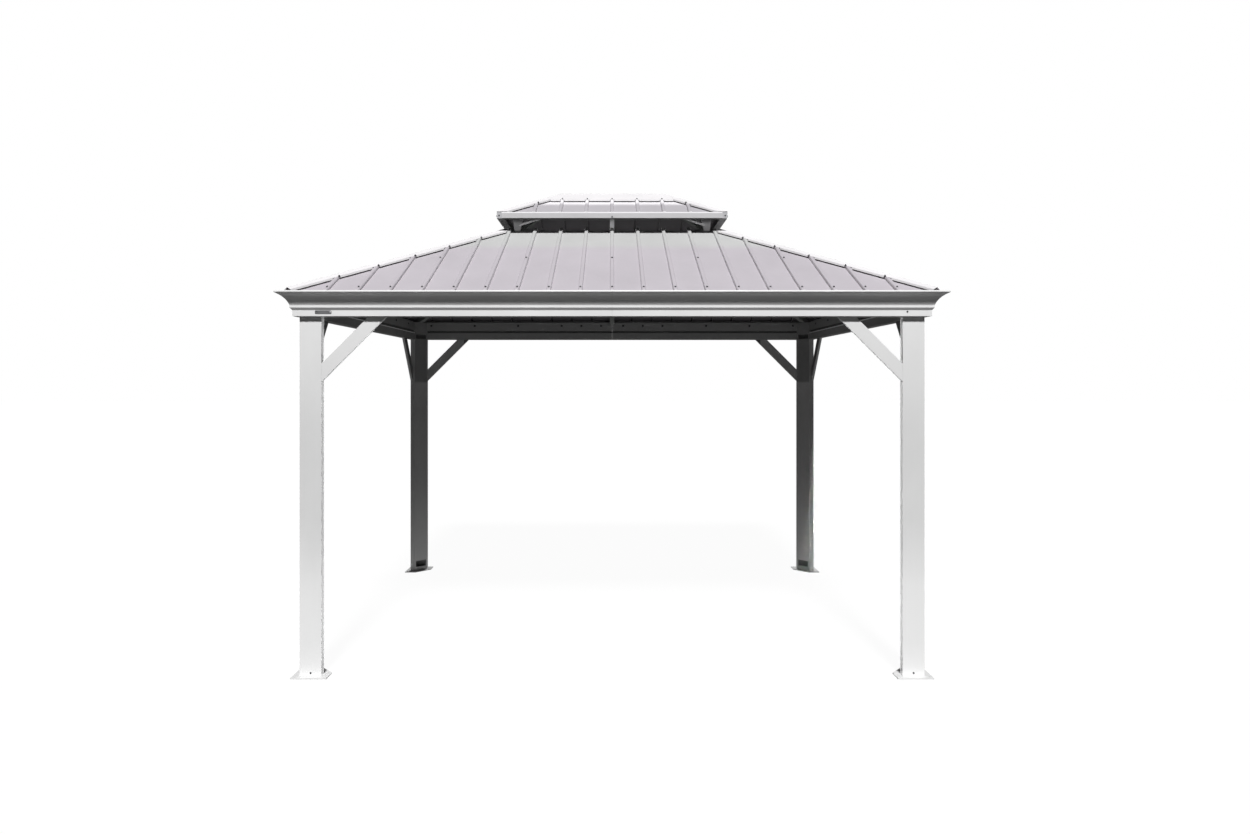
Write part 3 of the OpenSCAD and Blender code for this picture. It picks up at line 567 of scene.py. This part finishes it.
def screw_row_tree(name, head_sides):
    """Builds the tree that sets a row of washered heads along a straight line, facing one way."""
    tree = bpy.data.node_groups.new(name, "GeometryNodeTree")
    for label, kind, value in ROW_INPUTS:
        socket = tree.interface.new_socket(label, in_out="INPUT", socket_type="NodeSocket" + kind)
        if value is not None:
            socket.default_value = value
    tree.interface.new_socket("Geometry", in_out="OUTPUT", socket_type="NodeSocketGeometry")
    group = node_of(tree, "NodeGroupInput").outputs
    line = {"Count": group["Count"], "Start Location": group["First"], "Offset": group["Step"]}
    points = node_of(tree, "GeometryNodeMeshLine", line, mode="OFFSET").outputs["Mesh"]
    washer_rise = scaled(tree, group["Head Height"], WASHER_SHARE)
    head_rise = scaled(tree, group["Head Height"], HEAD_SHARE)
    crown_rise = scaled(tree, group["Head Height"], CROWN_SHARE)
    crown_base = scaled(tree, group["Head Height"], WASHER_SHARE + HEAD_SHARE)
    washer = disc(tree, group["Washer Width"], washer_rise, WASHER_SIDES, WASHER_TAPER)
    head = disc(tree, group["Head Width"], head_rise, head_sides, 1.0, washer_rise)
    crown = disc(tree, group["Head Width"], crown_rise, head_sides, CROWN_TAPER, crown_base)
    whole = node_of(tree, "GeometryNodeJoinGeometry")
    for part in (washer, head, crown):
        link(tree, part, whole.inputs["Geometry"])
    aim = node_of(tree, "FunctionNodeAlignRotationToVector", {"Vector": group["Facing"]}, axis="Z")
    copies = {"Points": points, "Instance": whole.outputs["Geometry"], "Rotation": aim.outputs["Rotation"]}
    placed = node_of(tree, "GeometryNodeInstanceOnPoints", copies).outputs["Instances"]
    real = node_of(tree, "GeometryNodeRealizeInstances", {"Geometry": placed}).outputs["Geometry"]
    painted = node_of(tree, "GeometryNodeSetMaterial", {"Geometry": real, "Material": group["Finish"]})
    node_of(tree, "NodeGroupOutput", {0: painted.outputs["Geometry"]})
    return tree


class Head:
    """A kind of screw: the tree that sets its rows, its head's width and height, and its washer's width."""

    def __init__(self, kind, width, rise, washer):
        name, sides = kind
        self.tree = bpy.data.node_groups.get(name) or screw_row_tree(name, sides)
        self.width, self.rise, self.washer = width, rise, washer


class Row:
    """A straight row of like screws: its start, the way they face, the step between two and their count."""

    def __init__(self, first, facing, step=(0.0, 0.0, 0.0), count=1):
        self.first = Vector(first)
        self.facing = Vector(facing)
        self.step = Vector(step)
        self.count = count


def set_inputs(modifier, values):
    """Sets a geometry modifier's inputs, found by name and written by identifier."""
    for item in modifier.node_group.interface.items_tree:
        if item.item_type == "SOCKET" and item.in_out == "INPUT" and item.name in values:
            modifier[item.identifier] = values[item.name]


def row_mesh(row, head, finish):
    """Runs the tree for one row and returns a plain mesh."""
    holder = bpy.data.objects.new("row", bpy.data.meshes.new("row"))
    bpy.context.scene.collection.objects.link(holder)
    modifier = holder.modifiers.new("row", "NODES")
    modifier.node_group = head.tree
    values = {"Count": row.count, "First": row.first, "Step": row.step, "Facing": row.facing,
              "Head Width": head.width, "Head Height": head.rise, "Washer Width": head.washer,
              "Finish": finish}
    set_inputs(modifier, values)
    graph = bpy.context.evaluated_depsgraph_get()
    mesh = bpy.data.meshes.new_from_object(holder.evaluated_get(graph))
    empty = holder.data
    bpy.data.objects.remove(holder)
    bpy.data.meshes.remove(empty)
    return mesh


def finished_piece(name, points, faces, finish):
    """Makes a mesh piece at the origin, with its finish, that rides on the gazebo."""
    mesh = bpy.data.meshes.new(name)
    mesh.from_pydata(points, [], faces)
    mesh.update()
    mesh.materials.append(finish)
    piece = bpy.data.objects.new(name, mesh)
    bpy.context.scene.collection.objects.link(piece)
    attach(piece, "root")


def screw_piece(name, rows, head, finish):
    """Makes one piece of several rows of screws."""
    points, faces = [], []
    for row in rows:
        mesh = row_mesh(row, head, finish)
        first = len(points)
        points += [tuple(v.co) for v in mesh.vertices]
        faces += [[first + i for i in p.vertices] for p in mesh.polygons]
        bpy.data.meshes.remove(mesh)
    if not faces:
        raise RuntimeError(name + " has no screws")
    finished_piece(name, points, faces, finish)


def screw_finish():
    """Returns the dark coating of the screws, made once."""
    found = bpy.data.materials.get("screw_coat")
    if found:
        return found
    return powder_coat("screw_coat", bpy.context.scene.gazebo_paint.screw, rough=0.4, metal=0.3)


def roof_screws(name, rows):
    """Makes a piece of hexagonal roof screws with washers."""
    sizes = bpy.context.scene.gazebo_screws
    head = Head(HEX_ROW, sizes.roof_head, sizes.roof_rise, sizes.roof_washer)
    screw_piece(name, rows, head, screw_finish())


def face_screws(name, rows):
    """Makes a piece of low round-headed screws."""
    sizes = bpy.context.scene.gazebo_screws
    head = Head(ROUND_ROW, sizes.face_head * FACE_HEAD_SHARE, sizes.face_rise, sizes.face_head)
    screw_piece(name, rows, head, screw_finish())


def side_turn(side):
    """Returns the turn from the front to a side."""
    return Matrix.Rotation(math.radians(90.0 * side), 3, "Z")


class Slope:
    """One of the four slopes of a roof: gives points on it from a place along, a run inwards and a lift."""

    def __init__(self, half_width, half_depth, height, angle, side):
        self.run = half_width if side % 2 else half_depth
        self.half = half_depth if side % 2 else half_width
        self.height = height
        self.angle = angle
        self.turn = side_turn(side)
        self.facing = self.turn @ Vector((0.0, -math.sin(angle), math.cos(angle)))

    def at(self, along, inwards, lift):
        """Returns a point on the slope."""
        point = Vector((along, inwards - self.run, self.height + inwards * math.tan(self.angle)))
        return self.turn @ point + self.facing * lift

    def along(self, distance):
        """Returns a level step along the slope."""
        return self.turn @ Vector((distance, 0.0, 0.0))


def lower_slope(side):
    """Returns a slope of the lower roof."""
    roof = bpy.context.scene.gazebo_roof
    return Slope(roof.half_width, roof.half_depth, roof.sheet_height, roof.angle, side)


def vent_slope(side):
    """Returns a slope of the vent roof."""
    roof = bpy.context.scene.gazebo_roof
    return Slope(roof.vent_half_width, roof.vent_half_depth, roof.vent_sheet_height, roof.vent_angle, side)


# Operators


class GAZEBO_OT_paint_metalwork(Operator):
    """Paint every CAD node with its own finish."""

    bl_idname = "gazebo.paint_metalwork"
    bl_label = "Paint Metalwork"

    def execute(self, context):
        finishes = metal_finishes(context.scene.gazebo_paint)
        for name, node in frame["nodes"].items():
            finish = finishes[finish_of(name)]
            for slot in node.material_slots:
                slot.material = finish
            if not node.material_slots:
                raise RuntimeError(name + " has no material slot")
        return {"FINISHED"}


class GAZEBO_OT_seam_screws(Operator):
    """Add the screws on the lower roof's seams: on each at the eave and on every third at the purlins."""

    bl_idname = "gazebo.seam_screws"
    bl_label = "Seam Screws"

    def execute(self, context):
        sizes = context.scene.gazebo_screws
        slopes = [lower_slope(side) for side in range(4)]
        roof_screws("eave_screws", [self.row(slope, 1, sizes.eave_run, sizes.eave_end) for slope in slopes])
        roof_screws("purlin_screws",
                    [self.row(slope, PURLIN_SEAMS, sizes.purlin_run, sizes.purlin_end) for slope in slopes])
        return {"FINISHED"}

    def row(self, slope, seams, run, end):
        """Returns a level row with a screw on every so many seams, clear of the ends of the eave."""
        roof = bpy.context.scene.gazebo_roof
        step = seams * roof.seam_pitch
        last = int((slope.half - end) / step)
        first = slope.at(-last * step, run, roof.seam_height)
        return Row(first, slope.facing, slope.along(step), 2 * last + 1)


class GAZEBO_OT_cap_screws(Operator):
    """Add the screws that hold the hip caps and the ridge cap down on the seams."""

    bl_idname = "gazebo.cap_screws"
    bl_label = "Cap Screws"

    def execute(self, context):
        roof = context.scene.gazebo_roof
        sizes = context.scene.gazebo_screws
        ridge_edge = roof.vent_half_depth - roof.ridge_flange
        rows = []
        for side in range(4):
            rows += self.hip_rows(lower_slope(side), roof.run - sizes.cap_last)
            rows += self.hip_rows(vent_slope(side), ridge_edge)
        roof_screws("hip_cap_screws", rows)
        ridge = []
        for side in (0, 2):
            slope = vent_slope(side)
            first = slope.at(-RIDGE_SCREWS * roof.seam_pitch, ridge_edge + sizes.ridge_in, roof.cap_lift)
            ridge.append(Row(first, slope.facing, slope.along(roof.seam_pitch), 2 * RIDGE_SCREWS + 1))
        roof_screws("ridge_cap_screws", ridge)
        return {"FINISHED"}

    def hip_rows(self, slope, limit):
        """Returns a row along each hip of a slope, a screw on each seam that meets the cap below a limit."""
        roof = bpy.context.scene.gazebo_roof
        sizes = bpy.context.scene.gazebo_screws
        pitch = roof.seam_pitch
        edge = roof.cap_flange * math.sqrt(2.0) - sizes.cap_edge
        seams = [i for i in range(1, MOST_SEAMS) if sizes.cap_first < slope.half - i * pitch - edge < limit]
        if not seams:
            return []
        low = max(seams) * pitch - sizes.cap_aside
        up = slope.half - low - edge
        rows = []
        for way in (-1, 1):
            first = slope.at(way * low, up, roof.cap_lift)
            second = slope.at(way * (low - pitch), up + pitch, roof.cap_lift)
            rows.append(Row(first, slope.facing, second - first, len(seams)))
        return rows


class GAZEBO_OT_vent_screws(Operator):
    """Add the screws on the vent roof's corner caps and over its middle ties."""

    bl_idname = "gazebo.vent_screws"
    bl_label = "Vent Screws"

    def execute(self, context):
        sizes = context.scene.gazebo_screws
        rows = []
        for side in range(4):
            slope = vent_slope(side)
            out = slope.turn @ Vector((0.0, -1.0, 0.0))
            inset = slope.half - sizes.trim_inset
            first = slope.turn @ Vector((-inset, -slope.run, sizes.trim_height))
            rows.append(Row(first, out, slope.along(2 * inset), 2))
            if side % 2 == 0:
                rows.append(Row(slope.turn @ Vector((0.0, -slope.run, sizes.tie_height)), out))
        face_screws("vent_trim_screws", rows)
        return {"FINISHED"}


class GAZEBO_OT_fascia_screws(Operator):
    """Add the screws near the ends of the gutter's fascia."""

    bl_idname = "gazebo.fascia_screws"
    bl_label = "Fascia Screws"

    def execute(self, context):
        sizes = context.scene.gazebo_screws
        roof = context.scene.gazebo_roof
        rows = []
        for side, name in enumerate(SIDES):
            low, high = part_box(name + "_gutter")
            half = (high[side % 2] - low[side % 2]) / 2
            run = roof.fascia_half_width if side % 2 else roof.fascia_half_depth
            turn = side_turn(side)
            inset = half - sizes.fascia_inset
            first = turn @ Vector((-inset, -run, sizes.fascia_height))
            rows.append(Row(first, turn @ Vector((0.0, -1.0, 0.0)), turn @ Vector((2 * inset, 0.0, 0.0)), 2))
        face_screws("fascia_screws", rows)
        return {"FINISHED"}


class GAZEBO_OT_foot_screws(Operator):
    """Add the screws that hold the posts to their feet."""

    bl_idname = "gazebo.foot_screws"
    bl_label = "Foot Screws"

    def execute(self, context):
        height = context.scene.gazebo_screws.foot_height
        rows = []
        for x_way, x_name in ((-1, "left"), (1, "right")):
            for y_way, y_name in ((-1, "front"), (1, "back")):
                low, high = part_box("post_" + y_name + "_" + x_name)
                x_out = low[0] if x_way < 0 else high[0]
                y_out = low[1] if y_way < 0 else high[1]
                x_mid, y_mid = (low[0] + high[0]) / 2, (low[1] + high[1]) / 2
                rows.append(Row((x_mid, y_out, height), (0.0, y_way, 0.0)))
                rows.append(Row((x_out, y_mid, height), (x_way, 0.0, 0.0)))
        face_screws("foot_screws", rows)
        return {"FINISHED"}


class GAZEBO_OT_beam_bolts(Operator):
    """Add the bolts along the upper band of the beams' inner faces."""

    bl_idname = "gazebo.beam_bolts"
    bl_label = "Beam Bolts"

    def execute(self, context):
        sizes = context.scene.gazebo_screws
        rows = []
        for side, name in enumerate(SIDES):
            low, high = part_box(name + "_beam")
            across = 0 if side % 2 else 1
            inner = min(abs(low[across]), abs(high[across]))
            turn = side_turn(side)
            for first, step, count in SHORT_SIDE_BOLTS if side % 2 else LONG_SIDE_BOLTS:
                for way in (-1, 1):
                    start = turn @ Vector((way * first, -inner, sizes.bolt_height))
                    onwards = turn @ Vector((way * step, 0.0, 0.0))
                    rows.append(Row(start, turn @ Vector((0.0, 1.0, 0.0)), onwards, count))
        head = Head(HEX_ROW, sizes.bolt_head, sizes.bolt_rise, sizes.bolt_head * BOLT_WASHER_SHARE)
        screw_piece("beam_bolts", rows, head, screw_finish())
        return {"FINISHED"}


class GAZEBO_OT_bare_plate(Operator):
    """Add the bare plate on the left of the front fascia, with its rivets."""

    bl_idname = "gazebo.bare_plate"
    bl_label = "Bare Plate"

    def execute(self, context):
        plate = context.scene.gazebo_plate
        paint = context.scene.gazebo_paint
        centre = Vector((-plate.left, -context.scene.gazebo_roof.fascia_half_depth, plate.level))
        half_w, half_h = plate.width / 2, plate.height / 2
        outline = self.rounded(half_w, half_h, plate.corner)
        inner = self.rounded(half_w - plate.bevel, half_h - plate.bevel, plate.corner - plate.bevel)
        rings = ((outline, 0.0), (outline, plate.depth * PLATE_WALL), (inner, plate.depth))
        points = [centre + Vector((x, -out, z)) for ring, out in rings for x, z in ring]
        count = len(outline)
        faces = []
        for ring in range(len(rings) - 1):
            low, high = ring * count, (ring + 1) * count
            for i in range(count):
                j = (i + 1) % count
                faces.append([low + i, low + j, high + j, high + i])
        faces.append([(len(rings) - 1) * count + i for i in range(count)])
        faces.append([count - 1 - i for i in range(count)])
        finish = powder_coat("plate_coat", paint.plate, rough=0.38, metal=0.4)
        finished_piece("bare_plate", points, faces, finish)
        head = Head(ROUND_ROW, plate.rivet_head, plate.rivet_rise, plate.rivet_flange)
        first = centre + Vector((-plate.rivet_apart / 2, -plate.depth, 0.0))
        rivets = Row(first, (0.0, -1.0, 0.0), (plate.rivet_apart, 0.0, 0.0), 2)
        metal = powder_coat("rivet_metal", paint.rivet, rough=0.3, metal=0.8)
        screw_piece("plate_rivets", [rivets], head, metal)
        return {"FINISHED"}

    def rounded(self, half_w, half_h, corner):
        """Returns the outline of a rounded rectangle, seen from the front."""
        points = []
        for quarter, (across, up) in enumerate(((1, 1), (-1, 1), (-1, -1), (1, -1))):
            for step in range(CORNER_STEPS + 1):
                angle = math.radians(90.0 * (quarter + step / CORNER_STEPS))
                points.append((across * (half_w - corner) + corner * math.cos(angle),
                               up * (half_h - corner) + corner * math.sin(angle)))
        return points


class GAZEBO_OT_stage(Operator):
    """Set up the pale floor, the light and the camera."""

    bl_idname = "gazebo.stage"
    bl_label = "Stage"

    def execute(self, context):
        scene = context.scene
        settings = scene.gazebo_stage
        self.floor(scene)
        self.world(scene, settings)
        self.lights(scene, settings)
        self.camera(scene, settings)
        scene.view_settings.view_transform = "Standard"
        return {"FINISHED"}

    def floor(self, scene):
        """Adds a large plain floor, which can be seen through from below."""
        corners = [(x * FLOOR_HALF, y * FLOOR_HALF, 0.0) for x, y in ((-1, -1), (1, -1), (1, 1), (-1, 1))]
        mesh = bpy.data.meshes.new("pale_floor")
        mesh.from_pydata(corners, [], [(0, 1, 2, 3)])
        floor = bpy.data.objects.new("pale_floor", mesh)
        scene.collection.objects.link(floor)
        material = bpy.data.materials.new("pale_floor")
        material.use_nodes = True
        tree = material.node_tree
        tree.nodes.remove(tree.nodes["Principled BSDF"])
        glow = node_of(tree, "ShaderNodeEmission", {"Strength": FLOOR_GLOW})
        matt = node_of(tree, "ShaderNodeBsdfDiffuse", {"Color": FLOOR_PAINT})
        seen = node_of(tree, "ShaderNodeAddShader", {0: glow.outputs[0], 1: matt.outputs[0]})
        place = node_of(tree, "ShaderNodeTexCoord").outputs["Object"]
        inwards = mapped(tree, axis(tree, place, "Y"), BOUNCE_DEPTHS, BOUNCE_TONES)
        dull = node_of(tree, "ShaderNodeBsdfDiffuse", {"Color": inwards})
        pool = node_of(tree, "ShaderNodeEmission", {"Strength": self.pool(tree, place)})
        bounce = node_of(tree, "ShaderNodeAddShader", {0: dull.outputs[0], 1: pool.outputs[0]})
        above = self.for_camera(tree, bounce, seen)
        from_below = node_of(tree, "ShaderNodeNewGeometry").outputs["Backfacing"]
        clear = node_of(tree, "ShaderNodeBsdfTransparent")
        sides = {0: from_below, 1: above.outputs[0], 2: clear.outputs[0]}
        whole = node_of(tree, "ShaderNodeMixShader", sides)
        link(tree, whole.outputs[0], tree.nodes["Material Output"].inputs["Surface"])
        mesh.materials.append(material)

    def for_camera(self, tree, others, seen):
        """Mixes two shaders: the camera sees the second, and light meets the first."""
        from_camera = node_of(tree, "ShaderNodeLightPath").outputs["Is Camera Ray"]
        rays = {0: from_camera, 1: others.outputs[0], 2: seen.outputs[0]}
        return node_of(tree, "ShaderNodeMixShader", rays)

    def pool(self, tree, place):
        """Returns the strength of the two pools of light in front of the back feet."""
        aside = node_of(tree, "ShaderNodeMath", {0: axis(tree, place, "X")}, operation="ABSOLUTE")
        spot = node_of(tree, "ShaderNodeCombineXYZ", {"X": aside.outputs[0], "Y": axis(tree, place, "Y")})
        ends = {0: spot.outputs["Vector"], 1: POOL_PLACE}
        away = node_of(tree, "ShaderNodeVectorMath", ends, operation="DISTANCE").outputs["Value"]
        return mapped(tree, away, POOL_DISTANCES, POOL_STRENGTHS)

    def world(self, scene, settings):
        """Adds a white backdrop that gives little light."""
        world = bpy.data.worlds.new("studio")
        scene.world = world
        world.use_nodes = True
        tree = world.node_tree
        soft = tree.nodes["Background"]
        soft.inputs["Color"].default_value = WHITE
        soft.inputs["Strength"].default_value = settings.fill
        backdrop = node_of(tree, "ShaderNodeBackground", {"Color": WHITE, "Strength": 1.0})
        whole = self.for_camera(tree, soft, backdrop)
        link(tree, whole.outputs[0], tree.nodes["World Output"].inputs["Surface"])

    def lights(self, scene, settings):
        """Adds the suns and the light panels."""
        names = list(frame["nodes"])
        self.sun(scene, "key", KEY_PLACE, settings.key, SUN_SPREAD)
        self.sun(scene, "back", BACK_PLACE, settings.side, SUN_SPREAD, [n for n in names if "back" in n])
        for way, side in ((-1.0, "left"), (1.0, "right")):
            outer = [n for n in names if side in n and "front" not in n and "back" not in n]
            self.sun(scene, side, (way * SIDE_PLACE[0], *SIDE_PLACE[1:]), settings.side, SUN_SPREAD, outer)
            for name, place, faces, size, power, spread in SIDE_PANELS:
                self.panel(scene, side + name, (way * place[0], *place[1:]), (way * faces, 0.0, 0.0), size,
                           getattr(settings, power), spread)
        self.panel(scene, "back_vent", power=settings.rail * BACK_VENT_POWER, **BACK_VENT_PANEL)
        self.sun(scene, "under_vent", VENT_PLACE, settings.vent, VENT_SPREAD, VENT_LIT)

    def panel(self, scene, name, place, facing, size, power, spread):
        """Adds a narrow light panel that faces one way and isn't seen by the camera."""
        light = bpy.data.lights.new("panel_" + name, "AREA")
        light.shape = "RECTANGLE"
        light.size, light.size_y = size
        light.energy = power
        light.spread = math.radians(spread)
        lamp = bpy.data.objects.new("panel_" + name, light)
        lamp.rotation_euler = Vector(facing).to_track_quat("-Z", "Y").to_euler()
        lamp.location = place
        lamp.visible_camera = False
        scene.collection.objects.link(lamp)

    def sun(self, scene, name, towards, power, spread, receivers=None):
        """Adds a sun that shines from a direction, on all of the gazebo or on some of its nodes."""
        light = bpy.data.lights.new(name, "SUN")
        light.energy = power
        light.angle = math.radians(spread)
        lamp = bpy.data.objects.new(name, light)
        lamp.rotation_euler = Vector(towards).to_track_quat("Z", "Y").to_euler()
        lamp.location = Vector(towards) * SUN_DISTANCE
        scene.collection.objects.link(lamp)
        if receivers:
            lit = bpy.data.collections.new(name + "_lit")
            for node in receivers:
                lit.objects.link(frame["nodes"][node])
            lamp.light_linking.receiver_collection = lit

    def camera(self, scene, settings):
        """Adds the camera, level and in front of the middle."""
        data = bpy.data.cameras.new("photo_camera")
        data.sensor_width = SENSOR_WIDTH
        data.lens = settings.lens
        data.shift_x = (PICTURE_WIDTH / 2 - LOOK_ACROSS) / PICTURE_WIDTH
        data.shift_y = (LOOK_DOWN - PICTURE_HEIGHT / 2) / PICTURE_WIDTH
        camera = bpy.data.objects.new("photo_camera", data)
        camera.location = (0.0, -settings.camera_distance, settings.camera_height)
        camera.rotation_euler = (math.radians(90.0), 0.0, 0.0)
        scene.collection.objects.link(camera)
        scene.camera = camera


class GAZEBO_PT_finish(Panel):
    """Lists the gazebo's operators in the sidebar."""

    bl_idname = "GAZEBO_PT_finish"
    bl_label = "Garden Gazebo"
    bl_space_type = "VIEW_3D"
    bl_region_type = "UI"
    bl_category = "Gazebo"

    def draw(self, context):
        for operator in OPERATORS:
            self.layout.operator(operator.bl_idname)


SETTINGS = {"gazebo_paint": GazeboPaint, "gazebo_roof": GazeboRoof, "gazebo_screws": GazeboScrews,
            "gazebo_plate": GazeboPlate, "gazebo_stage": GazeboStage}
OPERATORS = (GAZEBO_OT_paint_metalwork, GAZEBO_OT_seam_screws, GAZEBO_OT_cap_screws, GAZEBO_OT_vent_screws,
             GAZEBO_OT_fascia_screws, GAZEBO_OT_foot_screws, GAZEBO_OT_beam_bolts, GAZEBO_OT_bare_plate,
             GAZEBO_OT_stage)
CLASSES = (*SETTINGS.values(), *OPERATORS, GAZEBO_PT_finish)


def register():
    """Registers the classes and hangs their settings on the scene."""
    for item in CLASSES:
        bpy.utils.register_class(item)
    for name, group in SETTINGS.items():
        setattr(bpy.types.Scene, name, PointerProperty(type=group))


def unregister():
    """Takes the settings and the classes away again."""
    for name in SETTINGS:
        delattr(bpy.types.Scene, name)
    for item in reversed(CLASSES):
        bpy.utils.unregister_class(item)


def main():
    """Builds the finish in order."""
    for name in ("Cube", "Light", "Camera"):
        if name in bpy.data.objects:
            bpy.data.objects.remove(bpy.data.objects[name])
    register()
    bpy.ops.gazebo.paint_metalwork()
    bpy.ops.gazebo.seam_screws()
    bpy.ops.gazebo.cap_screws()
    bpy.ops.gazebo.vent_screws()
    bpy.ops.gazebo.fascia_screws()
    bpy.ops.gazebo.foot_screws()
    bpy.ops.gazebo.beam_bolts()
    bpy.ops.gazebo.bare_plate()
    bpy.ops.gazebo.stage()


if __name__ == "__main__":
    main()
